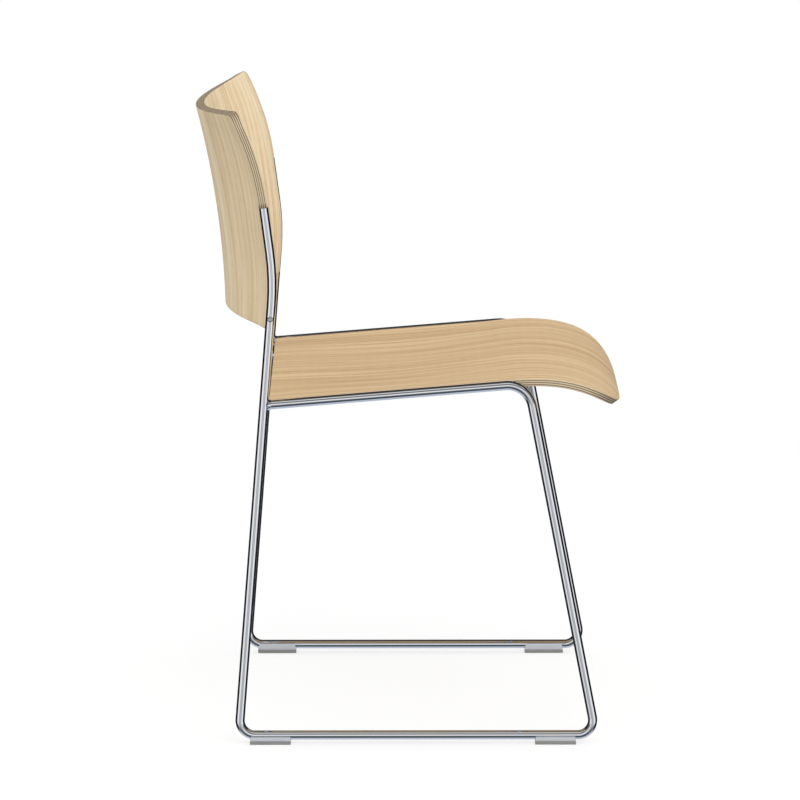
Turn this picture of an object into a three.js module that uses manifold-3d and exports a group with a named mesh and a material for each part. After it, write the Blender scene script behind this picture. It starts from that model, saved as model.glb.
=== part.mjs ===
// Stacking chair: two bent steel rod side frames joined by two cross rods, with a moulded plywood seat and back.
// Millimetres, +Z up, the sitter faces +X. The finished part stands on z = 0, centred on its own outline.

import * as THREE from "three";
import { mergeVertices } from "three/addons/utils/BufferGeometryUtils.js";
import Module from "manifold-3d";

const wasm = await Module();
wasm.setup();

// ---------------------------------------------------------------- driving dimensions

// Bent rod of the side frames. Heights are measured up the frame's own plane from the runner's centreline.
const rodDiameter = 11.1;
const frameSpread = 488.8; // between the two runners' centrelines
const frameLean = 2.89; // degrees each frame leans inwards
const runnerLength = 426.5; // between the virtual corners of the runner
const rearLegLean = 4.46; // degrees forward of upright
const frontLegLean = 10.98; // degrees back from upright
const railHeight = 397.5; // where the seat rail meets the upright
const railRise = 4.65; // degrees up towards the front
const backBendHeight = 548.2; // virtual corner of the upright behind the sitter
const backBendLean = 7.57; // degrees backwards above that corner
const uprightHeight = 632.9; // end of the upright, inside the back shell's shoulder
const floorBendRadius = 18;
const kneeBendRadius = 30;
const backBendRadius = 300;
const weldBead = 1.6; // how far the bead stands out at the foot of the rail

// Cross rods.
const crossRodDiameter = 8;
const crossRodDimple = 3; // centre drilling in each end
const rearCrossDrop = 11.5; // below the rail's junction, along the upright
const frontCrossGap = 0.9; // under the seat
const frontCrossBack = 2.4; // behind the virtual knee

// Seat shell.
const seatPly = 9;
const seatTopAboveRail = 4.15; // seat face above the rail's centreline
const seatSideGap = 0.6; // to the inner face of the rail
const seatRearGap = 0.5; // to the front of the upright
const seatRearCorner = 8;
const seatDish = 6;
const seatLipReach = 115; // front edge beyond the virtual knee of the frame
const seatLipDrop = 39.9; // front edge below the virtual knee of the frame
const seatLipAngle = 58; // degrees the lip points down at its edge
const seatLipPull = 73; // tangent length at the edge
const seatCrestPull = 14.9; // tangent length where the lip leaves the straight seat
const seatLipStart = 41.7; // behind the virtual knee
const seatFrontCorner = 75; // how far back the rounded front corners reach
const seatFrontPower = 3.85;

// Back shell.
const backPly = 11;
const backBottom = 497.5; // above the floor
const backTop = 740.7; // middle of the top edge, above the floor
const backTopRise = 12; // the top edge's rise from its middle to its ends
const backSpineX = -14; // middle of the lower edge, from the runner's rear corner
const backSpineLean = 1.72; // degrees backwards at the lower edge
const backSpineRadius = 1090;
const backSideRadius = 325; // of the side edges above the uprights
const backSectionFlattening = 0.25;
const backEdgeFlattening = 0.045; // brings the section square to the uprights at its side edges
const backTopCorner = 20;
const backLowerCorner = 4;

// Fasteners.
const fitGap = 0.3;
const tabThickness = 3;
const tabLength = 28;
const tabWidth = 22;
const tabCorner = 4;
const tabSpacing = 300; // between the left and right tabs' middles
const tabSeatGap = 0.5;
const seatScrewDiameter = 5;
const seatScrewHead = 9.5;
const seatScrewHeadHeight = 2.6;
const seatInsertDiameter = 8;
const seatInsertLength = 6;
const backScrewDiameter = 4;
const backScrewHead = 6.8;
const backScrewHeadHeight = 1.4;
const backScrewHeight = 500; // up the frame's plane
const backInsertDiameter = 6;
const backInsertLength = 8;
const pinDiameter = 4;
const pinDepth = 11; // into the upright, and again into the back shell

// Floor glides.
const glideLength = 48.7;
const rearGlideStart = 13.3; // from the runner's rear corner
const frontGlideEnd = 23.8; // from the runner's front corner
const soleHeight = 4.45;
const soleRim = 1.05; // beside the saddle
const soleFloor = 2.2;
const saddleWall = 1.5;
const saddleOuterRise = -1.8; // top of the outer wing from the runner's centreline
const saddleInnerRise = 1.6;
const saddleTaper = 3;

// ---------------------------------------------------------------- sizes that follow

const radians = THREE.MathUtils.degToRad;
const rodRadius = rodDiameter / 2;
const runnerZ = soleHeight + fitGap + rodRadius;
const lean = radians(frameLean);

// A point of the frame's plane, x forwards and v up the plane from the runner.
const onPlane = (x, v) => new THREE.Vector2(x, v);
const direction = (degreesFromUpright) => onPlane(Math.sin(radians(degreesFromUpright)),
  Math.cos(radians(degreesFromUpright)));

const rearDirection = direction(rearLegLean);
const railDirection = onPlane(Math.cos(radians(railRise)), Math.sin(radians(railRise)));
const upperDirection = direction(-backBendLean);
const alongRearLeg = (v) => onPlane(v * Math.tan(radians(rearLegLean)), v);

const rearCorner = onPlane(0, 0);
const frontCorner = onPlane(runnerLength, 0);
const railFoot = alongRearLeg(railHeight);
const backBend = alongRearLeg(backBendHeight);
const uprightEnd = backBend.clone().addScaledVector(upperDirection,
  (uprightHeight - backBendHeight) / upperDirection.y);
const knee = kneeCorner();

// The rail's line and the front leg's line meet at the virtual knee.
function kneeCorner() {
  const railSlope = railDirection.y / railDirection.x;
  const legSlope = Math.tan(radians(frontLegLean));
  const x = (runnerLength + legSlope * (railSlope * railFoot.x - railFoot.y)) / (1 + legSlope * railSlope);
  return onPlane(x, railFoot.y + railSlope * (x - railFoot.x));
}

const heightOf = (v) => runnerZ + v * Math.cos(lean); // above the floor
const planeHeight = (z) => (z - runnerZ) / Math.cos(lean); // and back
const halfSpreadAt = (z) => frameSpread / 2 - (z - runnerZ) * Math.tan(lean);
const kneeZ = heightOf(knee.y);

const sides = [
  { name: "right", sign: -1 },
  { name: "left", sign: 1 },
];

// ---------------------------------------------------------------- materials

const chrome = new THREE.MeshStandardMaterial({ color: 0xd8dade, roughness: 0.08, metalness: 1 });
const zinc = new THREE.MeshStandardMaterial({ color: 0xb9bcc0, roughness: 0.35, metalness: 1 });
const brass = new THREE.MeshStandardMaterial({ color: 0xc2a25a, roughness: 0.4, metalness: 1 });
const seatOak = new THREE.MeshStandardMaterial({ color: 0xcfae7e, roughness: 0.45, metalness: 0 });
const backOak = new THREE.MeshStandardMaterial({ color: 0xe0c9a4, roughness: 0.45, metalness: 0 });
const clearPlastic = new THREE.MeshStandardMaterial({ color: 0xc9d3e0, roughness: 0.25, metalness: 0 });
const greyPlastic = new THREE.MeshStandardMaterial({ color: 0x96968f, roughness: 0.6, metalness: 0 });

// ---------------------------------------------------------------- solids and booleans

// A closed geometry as a solid that can be cut and joined.
function solid(geometry, matrix = new THREE.Matrix4()) {
  const bare = geometry.clone();
  bare.deleteAttribute("normal");
  bare.deleteAttribute("uv");
  bare.applyMatrix4(matrix);
  const merged = mergeVertices(bare, 1e-4);
  return new wasm.Manifold(new wasm.Mesh({
    numProp: 3,
    vertProperties: merged.attributes.position.array,
    triVerts: new Uint32Array(merged.index.array),
  }));
}

function geometryOf(manifold) {
  const mesh = manifold.getMesh();
  const geometry = new THREE.BufferGeometry();
  geometry.setAttribute("position", new THREE.BufferAttribute(new Float32Array(mesh.vertProperties), 3));
  geometry.setIndex(new THREE.BufferAttribute(new Uint32Array(mesh.triVerts), 1));
  geometry.computeVertexNormals();
  return geometry;
}

const cutAll = (blank, cutters) => cutters.reduce((left, cutter) => left.subtract(cutter), blank);

// A round bar along +Z of its own frame, from z = 0.
function bar(radius, length, segments = 16) {
  return new THREE.CylinderGeometry(radius, radius, length, segments)
    .rotateX(Math.PI / 2)
    .translate(0, 0, length / 2);
}

// A turned piece about its own Z axis, from [radius, z] pairs that start and end on the axis.
function turned(profile, segments = 16) {
  const points = profile.map(([radius, z]) => new THREE.Vector2(radius, z));
  return new THREE.LatheGeometry(points, segments).rotateX(Math.PI / 2);
}

function named(name, geometry, material) {
  const mesh = new THREE.Mesh(geometry, material);
  mesh.name = name;
  return mesh;
}

// The frame that has its origin at a point and its Z axis along a direction.
function facing(origin, axis) {
  const turn = new THREE.Quaternion().setFromUnitVectors(new THREE.Vector3(0, 0, 1), axis.clone().normalize());
  return new THREE.Matrix4().compose(origin, turn, new THREE.Vector3(1, 1, 1));
}

function placed(mesh, matrix) {
  matrix.decompose(mesh.position, mesh.quaternion, mesh.scale);
  return mesh;
}

// ---------------------------------------------------------------- side frames

// The place of a side frame: its local X runs forwards, local Y up its leaning plane, local Z across it.
function framePlace(sign) {
  return new THREE.Matrix4()
    .makeTranslation(0, (sign * frameSpread) / 2, runnerZ)
    .multiply(new THREE.Matrix4().makeRotationX(Math.PI / 2 + sign * lean));
}

const inFrame = (sign, x, v, across = 0) => new THREE.Vector3(x, v, across).applyMatrix4(framePlace(sign));
const alongFrame = (sign, flat) => new THREE.Vector3(flat.x, flat.y, 0).transformDirection(framePlace(sign));
const outOfFrame = (sign) => new THREE.Vector3(0, 0, -sign).transformDirection(framePlace(sign));

// Straight runs joined by arcs, as stations that each hold a point and its tangent.
class RodPath extends THREE.Curve {
  constructor(corners) {
    super();
    this.stations = corners.flatMap((corner, i) => RodPath.stationsAt(corners, corner, i));
  }

  static stationsAt(corners, corner, i) {
    const before = corners[i - 1];
    const after = corners[i + 1];
    if (!before || !after) {
      const other = before ?? after;
      const tangent = before ? corner.at.clone().sub(other.at) : other.at.clone().sub(corner.at);
      return [{ at: corner.at, tangent: tangent.normalize() }];
    }
    const entering = corner.at.clone().sub(before.at).normalize();
    const leaving = after.at.clone().sub(corner.at).normalize();
    const turn = Math.atan2(entering.cross(leaving), entering.dot(leaving));
    const tangentLength = corner.radius * Math.tan(Math.abs(turn) / 2);
    const start = corner.at.clone().addScaledVector(entering, -tangentLength);
    const inward = onPlane(-entering.y, entering.x).multiplyScalar(Math.sign(turn));
    const centre = start.clone().addScaledVector(inward, corner.radius);
    const count = corner.steps;
    return Array.from({ length: count + 1 }, (_, k) => {
      const angle = (turn * k) / count;
      return {
        at: start.clone().rotateAround(centre, angle),
        tangent: entering.clone().rotateAround(onPlane(0, 0), angle),
      };
    });
  }

  get steps() {
    return this.stations.length - 1;
  }

  station(t) {
    return this.stations[Math.round(t * this.steps)];
  }

  getPoint(t, target = new THREE.Vector3()) {
    const { at } = this.station(t);
    return target.set(at.x, at.y, 0);
  }

  getPointAt(t, target) {
    return this.getPoint(t, target);
  }

  getTangentAt(t, target = new THREE.Vector3()) {
    const { tangent } = this.station(t);
    return target.set(tangent.x, tangent.y, 0);
  }
}

function rodSection() {
  return new THREE.Shape().absarc(0, 0, rodRadius, 0, 2 * Math.PI);
}

function bentRod() {
  const railStop = (rodRadius + weldBead) / Math.cos(radians(rearLegLean));
  const path = new RodPath([
    { at: uprightEnd },
    { at: backBend, radius: backBendRadius, steps: 6 },
    { at: rearCorner, radius: floorBendRadius, steps: 8 },
    { at: frontCorner, radius: floorBendRadius, steps: 8 },
    { at: knee, radius: kneeBendRadius, steps: 9 },
    { at: railFoot.clone().addScaledVector(railDirection, railStop) },
  ]);
  return solid(new THREE.ExtrudeGeometry(rodSection(), {
    steps: path.steps,
    curveSegments: 9,
    extrudePath: path,
  }));
}

// The bead that joins the rail's end to the upright, turned about the rail.
function railWeld() {
  const beadStart = rodRadius - weldBead;
  const beadEnd = rodRadius + 2 * weldBead;
  const profile = [
    [0, 0],
    [rodRadius * 0.8, 0],
    [rodRadius * 0.8, beadStart],
    [rodRadius + weldBead * 0.7, rodRadius * 0.9],
    [rodRadius + weldBead * 0.6, rodRadius + weldBead],
    [rodRadius * 0.97, beadEnd],
    [0, beadEnd],
  ];
  const axis = new THREE.Vector3(railDirection.x, railDirection.y, 0);
  return solid(turned(profile), facing(new THREE.Vector3(railFoot.x, railFoot.y, 0), axis));
}

// Holes through the upright for the back screw, and down its end for the pin.
function frameHoles() {
  const screwAt = alongRearLeg(backScrewHeight);
  const across = rodDiameter * 2;
  const screwHole = solid(bar(backScrewDiameter / 2 + fitGap, across, 12),
    new THREE.Matrix4().makeTranslation(screwAt.x, screwAt.y, -across / 2));
  const upwards = new THREE.Vector3(upperDirection.x, upperDirection.y, 0);
  const holeFloor = new THREE.Vector3(uprightEnd.x, uprightEnd.y, 0).addScaledVector(upwards, -pinDepth);
  const pinHole = solid(bar(pinDiameter / 2 + fitGap, pinDepth * 2, 12), facing(holeFloor, upwards));
  return [screwHole, pinHole];
}

function sideFrame({ name, sign }) {
  const rod = cutAll(bentRod().add(railWeld()), frameHoles());
  return placed(named(`side_frame_${name}`, geometryOf(rod), chrome), framePlace(sign));
}

// ---------------------------------------------------------------- seat shell

const railSlope = (railDirection.y * Math.cos(lean)) / railDirection.x;
const railZ = (x) => heightOf(railFoot.y) + railSlope * (x - railFoot.x);
const lipStartX = knee.x - seatLipStart;
const seatHalfWidth = halfSpreadAt(kneeZ) - rodRadius / Math.cos(lean) - seatSideGap;
const seatRearX = railFoot.x + rodRadius / Math.cos(radians(rearLegLean)) + seatRearGap;

// The waterfall front: leaves the straight seat along the rail and ends pointing down.
function lipCurve() {
  const start = new THREE.Vector2(lipStartX, railZ(lipStartX) + seatTopAboveRail);
  const edge = new THREE.Vector2(knee.x + seatLipReach, kneeZ - seatLipDrop);
  const rise = Math.atan(railSlope);
  const leaving = new THREE.Vector2(Math.cos(rise), Math.sin(rise));
  const arriving = new THREE.Vector2(Math.cos(radians(seatLipAngle)), -Math.sin(radians(seatLipAngle)));
  return new THREE.CubicBezierCurve(start, start.clone().addScaledVector(leaving, seatCrestPull),
    edge.clone().addScaledVector(arriving, -seatLipPull), edge);
}

const lip = lipCurve();
const lipEdgeX = lip.v3.x;

// The lip's own parameter at a given x, found by halving.
function lipParameter(x) {
  let low = 0;
  let high = 1;
  for (let i = 0; i < 40; i += 1) {
    const middle = (low + high) / 2;
    if (lip.getPoint(middle).x < x) low = middle;
    else high = middle;
  }
  return (low + high) / 2;
}

// Height and slope of the seat's face along its side edge.
function seatFace(x) {
  if (x <= lipStartX) return { z: railZ(x) + seatTopAboveRail, slope: railSlope };
  const t = lipParameter(x);
  const tangent = lip.getTangent(t);
  return { z: lip.getPoint(t).y, slope: tangent.y / tangent.x };
}

// The sitting hollow, deepest in the middle and gone at the rails, the rear edge and the front cross rod.
function seatHollow(x, y) {
  const end = knee.x - frontCrossBack - crossRodDiameter;
  const along = THREE.MathUtils.clamp((x - seatRearX) / (end - seatRearX), 0, 1);
  return seatDish * Math.sin(Math.PI * along) ** 1.5 * (1 - (y / seatHalfWidth) ** 2);
}

// How far a rounded end falls back at a share of the half width.
const roundedInset = (share, depth, power) => depth * (1 - (1 - Math.min(Math.abs(share), 1) ** power) ** (1 / power));

function seatPoint(x, y, depth) {
  const { z, slope } = seatFace(x);
  const length = Math.hypot(1, slope);
  return new THREE.Vector3(x + (depth * slope) / length, y, z - seatHollow(x, y) - depth / length);
}

// Moves each vertex of a closed block, whose sides are 1 long, to where a mapping puts it.
function mapped(geometry, place) {
  const positions = geometry.attributes.position;
  const point = new THREE.Vector3();
  for (let i = 0; i < positions.count; i += 1) {
    point.fromBufferAttribute(positions, i);
    const moved = place(point.x, point.y, point.z);
    positions.setXYZ(i, moved.x, moved.y, moved.z);
  }
  return geometry;
}

// Crowds the columns of a block towards both of its ends.
const towardsEnds = (share) => Math.sin(share * Math.PI);

function seatBlank() {
  const block = new THREE.BoxGeometry(1, 1, 1, 26, 20, 1);
  return solid(mapped(block, (u, v, w) => {
    const share = towardsEnds(v);
    const y = share * seatHalfWidth;
    const rear = seatRearX + roundedInset(share, seatRearCorner, seatHalfWidth / seatRearCorner);
    const front = lipEdgeX - roundedInset(share, seatFrontCorner, seatFrontPower);
    const along = u + 0.5;
    const x = rear + (front - rear) * (1 - (1 - along) ** 1.35);
    return seatPoint(x, y, (0.5 - w) * seatPly);
  }));
}

// ---------------------------------------------------------------- cross rods and seat tabs

function crossRod(name, x, z) {
  const halfLength = halfSpreadAt(z) - rodRadius / Math.cos(lean) - crossRodDiameter / 2 * Math.tan(lean) - fitGap;
  const radius = crossRodDiameter / 2;
  const chamfer = 0.5;
  const half = [
    [0, -halfLength + crossRodDimple],
    [crossRodDimple / 2, -halfLength + crossRodDimple / 2],
    [crossRodDimple / 2, -halfLength],
    [radius - chamfer, -halfLength],
    [radius, -halfLength + chamfer],
  ];
  const profile = [...half, ...half.map(([r, y]) => [r, -y]).reverse()];
  const mesh = named(name, turned(profile, 18).rotateX(Math.PI / 2), chrome);
  mesh.position.set(x, 0, z);
  return mesh;
}

const crossRadius = crossRodDiameter / 2;
const frontCrossX = knee.x - frontCrossBack;
const frontCrossZ = seatPoint(frontCrossX, 0, seatPly).z - frontCrossGap - crossRadius;
const rearCross = alongRearLeg(railHeight - rearCrossDrop);
const rearCrossZ = heightOf(rearCross.y);

const tabRows = [
  { name: "front", rodX: frontCrossX, towards: -1 },
  { name: "rear", rodX: rearCross.x, towards: 1 },
];

// The place under the seat where a tab's screw goes up: Z out of the seat's face, X along it, clear of its curve.
function tabPlace(row, sign) {
  const reach = crossRadius + fitGap + tabLength / 2;
  const x = row.rodX + row.towards * reach;
  const y = (sign * tabSpacing) / 2;
  const behind = seatPoint(x - tabLength / 2, y, seatPly);
  const ahead = seatPoint(x + tabLength / 2, y, seatPly);
  const pitch = Math.atan2(ahead.z - behind.z, ahead.x - behind.x);
  const chord = new THREE.Matrix4().makeTranslation(x, y, (behind.z + ahead.z) / 2)
    .multiply(new THREE.Matrix4().makeRotationY(-pitch));
  const toChord = chord.clone().invert();
  const lowest = [-1, 0, 1].flatMap((along) => [-1, 0, 1].map((across) => seatPoint(
    x + (along * tabLength) / 2,
    y + (across * tabWidth) / 2,
    seatPly,
  ).applyMatrix4(toChord).z));
  return chord.multiply(new THREE.Matrix4().makeTranslation(0, 0, Math.min(...lowest)));
}

function roundedRectangle(length, width, radius) {
  const x = length / 2 - radius;
  const y = width / 2 - radius;
  return new THREE.Shape()
    .absarc(x, y, radius, 0, Math.PI / 2)
    .absarc(-x, y, radius, Math.PI / 2, Math.PI)
    .absarc(-x, -y, radius, Math.PI, 1.5 * Math.PI)
    .absarc(x, -y, radius, 1.5 * Math.PI, 2 * Math.PI);
}

function tabPlate() {
  const outline = roundedRectangle(tabLength, tabWidth, tabCorner);
  outline.holes.push(new THREE.Path().absarc(0, 0, seatScrewDiameter / 2 + fitGap, 0, 2 * Math.PI));
  return new THREE.ExtrudeGeometry(outline, { depth: tabThickness, bevelEnabled: false, curveSegments: 5 })
    .translate(0, 0, -tabThickness - tabSeatGap);
}

// ---------------------------------------------------------------- screws and inserts

// A domed screw that points up +Z, with the underside of its head at z = 0 and a tapered socket.
function screw(diameter, headDiameter, headHeight, length) {
  const radius = diameter / 2;
  const head = headDiameter / 2;
  return turned([
    [0, -headHeight * 0.35],
    [radius * 0.6, -headHeight * 0.5],
    [radius * 0.75, -headHeight],
    [head * 0.72, -headHeight * 0.86],
    [head * 0.95, -headHeight * 0.45],
    [head, 0],
    [radius, 0],
    [radius, length - radius * 0.5],
    [radius * 0.6, length],
    [0, length],
  ]);
}

// A threaded insert with its mouth at z = 0 and a blind thread up +Z.
function insert(diameter, length, screwDiameter) {
  const outer = diameter / 2;
  const bore = screwDiameter / 2 + fitGap;
  return turned([
    [0, length - 1],
    [bore, length - 1],
    [bore, 0],
    [outer - 0.3, 0],
    [outer, 0.6],
    [outer, length - 0.8],
    [outer - 0.8, length],
    [0, length],
  ]);
}

const seatScrewLength = tabThickness + tabSeatGap + seatInsertLength - 1 - fitGap;

function seatFastenings(row, side) {
  const place = tabPlace(row, side.sign);
  const label = `${row.name}_${side.name}`;
  const shifted = (z) => place.clone().multiply(new THREE.Matrix4().makeTranslation(0, 0, z));
  const headSeat = -tabThickness - tabSeatGap - fitGap;
  return [
    placed(named(`seat_tab_${label}`, tabPlate(), chrome), place),
    placed(named(`seat_screw_${label}`, screw(seatScrewDiameter, seatScrewHead, seatScrewHeadHeight,
      seatScrewLength), zinc), shifted(headSeat)),
    placed(named(`seat_insert_${label}`, insert(seatInsertDiameter, seatInsertLength, seatScrewDiameter), brass),
      shifted(fitGap)),
  ];
}

// Blind holes for the inserts, sunk into the underside of the seat.
function seatInsertHoles() {
  return tabRows.flatMap((row) => sides.map(({ sign }) => solid(
    bar(seatInsertDiameter / 2 + fitGap, 2 * seatInsertLength, 16),
    tabPlace(row, sign).multiply(new THREE.Matrix4().makeTranslation(0, 0, 2 * fitGap - seatInsertLength)),
  )));
}

function seatShell() {
  return named("seat_shell", geometryOf(cutAll(seatBlank(), seatInsertHoles())), seatOak);
}

// ---------------------------------------------------------------- back shell

// x at a height on an arc that turns backwards, from a start point and its lean forwards.
function arcX(start, startLean, radius, height) {
  const sine = (height - start.y) / radius - Math.sin(startLean);
  return start.x + radius * (Math.sqrt(1 - sine ** 2) - Math.cos(startLean));
}

// Where the middle of the ply runs along the uprights and on above them, as x at a height above the floor.
function backEdgeX(z) {
  const v = planeHeight(z);
  const bendReach = backBendRadius * Math.tan(radians(rearLegLean + backBendLean) / 2);
  const bendStart = backBend.clone().addScaledVector(rearDirection, -bendReach);
  const bendEnd = backBend.clone().addScaledVector(upperDirection, bendReach);
  if (v <= bendStart.y) return alongRearLeg(v).x;
  if (v <= bendEnd.y) return arcX(bendStart, radians(rearLegLean), backBendRadius, v);
  if (v <= uprightEnd.y) return backBend.x - (v - backBend.y) * Math.tan(radians(backBendLean));
  return arcX(uprightEnd, -radians(backBendLean), backSideRadius, v);
}

// The middle of the ply halfway across, on an arc that leans back more the higher it goes.
function backSpineAt(z) {
  return arcX(new THREE.Vector2(backSpineX, backBottom), -radians(backSpineLean), backSpineRadius, z);
}

// The cross section from 0 in the middle to 1 at the uprights.
function backSection(share) {
  const curve = (1 + backSectionFlattening + backEdgeFlattening) * share ** 2;
  return curve - backSectionFlattening * share ** 6 - backEdgeFlattening * share ** 24;
}

function backMiddle(y, z) {
  const across = backSection(y / halfSpreadAt(z));
  return new THREE.Vector3(backEdgeX(z) * across + backSpineAt(z) * (1 - across), y, z);
}

// A point of the back shell, offset across the ply from its middle.
function backPoint(y, z, offset) {
  const step = 0.5;
  const alongY = backMiddle(y + step, z).sub(backMiddle(y - step, z));
  const alongZ = backMiddle(y, z + step).sub(backMiddle(y, z - step));
  const normal = alongY.cross(alongZ).normalize();
  return backMiddle(y, z).addScaledVector(normal, offset);
}

const backHalfWidth = (z) => halfSpreadAt(z) + rodRadius / Math.cos(lean);

// Even columns in the middle, then columns at even angles round the corner.
function cornerColumn(index, columns, arcColumns, half, radius) {
  const fromEnd = Math.min(index, columns - index);
  const sign = index < columns / 2 ? -1 : 1;
  if (fromEnd <= arcColumns) {
    const angle = (Math.PI / 2) * (1 - fromEnd / arcColumns);
    return { y: sign * (half - radius + radius * Math.sin(angle)), inset: radius * (1 - Math.cos(angle)) };
  }
  const middle = columns / 2 - arcColumns;
  return { y: (sign * (half - radius) * (columns / 2 - fromEnd)) / middle, inset: 0 };
}

function backBlank() {
  const columns = 30;
  const arcColumns = 5;
  const block = new THREE.BoxGeometry(1, 1, 1, 1, columns, 18);
  return solid(mapped(block, (w, v, u) => {
    const index = Math.round((v + 0.5) * columns);
    const topHalf = backHalfWidth(backTop);
    const top = cornerColumn(index, columns, arcColumns, topHalf, backTopCorner);
    const share = top.y / topHalf;
    const topZ = backTop + backTopRise * backSection(share) - top.inset;
    const z = backBottom + (topZ - backBottom) * (u + 0.5);
    const y = share * backHalfWidth(z);
    return backPoint(y, z, w * backPly);
  }));
}

// The space of the upright below the back shell's shoulder, square to the upright's end.
function uprightNotch({ sign }) {
  const clear = rodRadius + fitGap;
  const size = 300;
  const notch = new THREE.BoxGeometry(size, size, size)
    .translate(0, -size / 2 + fitGap, -sign * (size / 2 - clear))
    .rotateZ(radians(backBendLean));
  const place = framePlace(sign).multiply(new THREE.Matrix4().makeTranslation(uprightEnd.x, uprightEnd.y, 0));
  return solid(notch, place);
}

// What rounds a lower corner of the back shell, just inside the upright.
function lowerCorner({ sign }) {
  const radius = backLowerCorner;
  const side = halfSpreadAt(backBottom) - (rodRadius + fitGap) / Math.cos(lean);
  const spare = 2;
  const outline = new THREE.Shape()
    .moveTo(-radius, -spare)
    .lineTo(spare, -spare)
    .lineTo(spare, radius)
    .lineTo(0, radius)
    .absarc(-radius, radius, radius, 0, -Math.PI / 2, true);
  const depth = 200;
  const cutter = new THREE.ExtrudeGeometry(outline, { depth, bevelEnabled: false, curveSegments: 5 })
    .translate(0, 0, -depth / 2)
    .rotateX(Math.PI / 2)
    .rotateZ(sign > 0 ? Math.PI / 2 : -Math.PI / 2);
  return solid(cutter, new THREE.Matrix4().makeTranslation(0, sign * side, backBottom));
}

// The screw's line at an upright: from the outside of the rod straight through into the ply's edge.
function backScrewPlace(sign, across) {
  const at = alongRearLeg(backScrewHeight);
  return facing(inFrame(sign, at.x, at.y, -sign * across), outOfFrame(sign).negate());
}

function pinPlace(sign, rise) {
  const upwards = alongFrame(sign, upperDirection);
  return facing(inFrame(sign, uprightEnd.x, uprightEnd.y).addScaledVector(upwards, rise), upwards);
}

function backHoles({ sign }) {
  const edge = -(rodRadius + fitGap);
  return [
    solid(bar(backInsertDiameter / 2 + fitGap, backInsertLength + 2 * fitGap + 4, 12),
      backScrewPlace(sign, edge + 4)),
    solid(bar(pinDiameter / 2 + fitGap, pinDepth + 4, 12), pinPlace(sign, -4)),
  ];
}

function backShell() {
  const cutters = sides.flatMap((side) => [uprightNotch(side), lowerCorner(side), ...backHoles(side)]);
  return named("back_shell", geometryOf(cutAll(backBlank(), cutters)), backOak);
}

function backFastenings({ name, sign }) {
  const edge = -(rodRadius + fitGap);
  const screwLength = rodDiameter + 2 * fitGap + backInsertLength - 1 - fitGap;
  const pinLength = 2 * (pinDepth - fitGap);
  const chamfer = 0.5;
  const pin = turned([
    [0, 0],
    [pinDiameter / 2 - chamfer, 0],
    [pinDiameter / 2, chamfer],
    [pinDiameter / 2, pinLength - chamfer],
    [pinDiameter / 2 - chamfer, pinLength],
    [0, pinLength],
  ]);
  return [
    placed(named(`back_screw_${name}`, screw(backScrewDiameter, backScrewHead, backScrewHeadHeight, screwLength),
      zinc), backScrewPlace(sign, rodRadius + fitGap)),
    placed(named(`back_insert_${name}`, insert(backInsertDiameter, backInsertLength, backScrewDiameter), brass),
      backScrewPlace(sign, edge - fitGap)),
    placed(named(`back_pin_${name}`, pin, zinc), pinPlace(sign, -pinLength / 2)),
  ];
}

// ---------------------------------------------------------------- floor glides

const saddleHalf = rodRadius + fitGap + saddleWall;
const soleWidth = 2 * (saddleHalf + fitGap + soleRim);

// Sections are drawn with the outer side of the chair towards +x and extruded along the runner.
function soleSection() {
  const recess = saddleHalf + fitGap;
  const half = soleWidth / 2;
  const edge = 0.6;
  return new THREE.Shape([
    [-half + edge, 0],
    [half - edge, 0],
    [half, edge],
    [half, soleHeight],
    [recess, soleHeight],
    [recess, soleFloor],
    [-recess, soleFloor],
    [-recess, soleHeight],
    [-half, soleHeight],
    [-half, edge],
  ].map(([x, z]) => new THREE.Vector2(x, z)));
}

function saddleSection() {
  const grip = rodRadius + fitGap;
  const outerAngle = Math.asin(saddleOuterRise / grip);
  const innerAngle = Math.PI - Math.asin(saddleInnerRise / grip);
  const foot = soleFloor + fitGap;
  return new THREE.Shape()
    .moveTo(-saddleHalf, foot)
    .lineTo(saddleHalf, foot)
    .lineTo(saddleHalf, runnerZ + saddleOuterRise)
    .lineTo(grip * Math.cos(outerAngle), runnerZ + saddleOuterRise)
    .absarc(0, runnerZ, grip, outerAngle, innerAngle - 2 * Math.PI, true)
    .lineTo(-saddleHalf, runnerZ + saddleInnerRise);
}

const alongRunner = (shape) => new THREE.ExtrudeGeometry(shape, {
  depth: glideLength,
  bevelEnabled: false,
  curveSegments: 14,
}).translate(0, 0, -glideLength / 2).rotateX(Math.PI / 2).rotateZ(Math.PI / 2);

// The side view of the saddle: square at its foot, and shorter towards the tops of its wings.
function saddleSideView() {
  const half = glideLength / 2;
  const top = runnerZ + rodRadius;
  const outline = new THREE.Shape([
    [-half, 0],
    [half, 0],
    [half, soleHeight],
    [half - saddleTaper, top],
    [-half + saddleTaper, top],
    [-half, soleHeight],
  ].map(([x, z]) => new THREE.Vector2(x, z)));
  return new THREE.ExtrudeGeometry(outline, { depth: soleWidth, bevelEnabled: false })
    .translate(0, 0, -soleWidth / 2)
    .rotateX(Math.PI / 2);
}

function glide(position, { name, sign }, x) {
  const label = `${position}_${name}`;
  const saddle = geometryOf(solid(alongRunner(saddleSection())).intersect(solid(saddleSideView())));
  const pair = new THREE.Group();
  pair.add(named(`glide_saddle_${label}`, saddle, clearPlastic));
  pair.add(named(`glide_sole_${label}`, alongRunner(soleSection()), greyPlastic));
  pair.position.set(x, (sign * frameSpread) / 2, 0);
  if (sign < 0) pair.rotation.z = Math.PI;
  return pair;
}

function glides(side) {
  return [
    glide("rear", side, rearGlideStart + glideLength / 2),
    glide("front", side, runnerLength - frontGlideEnd - glideLength / 2),
  ];
}

// ---------------------------------------------------------------- assembly

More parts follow.
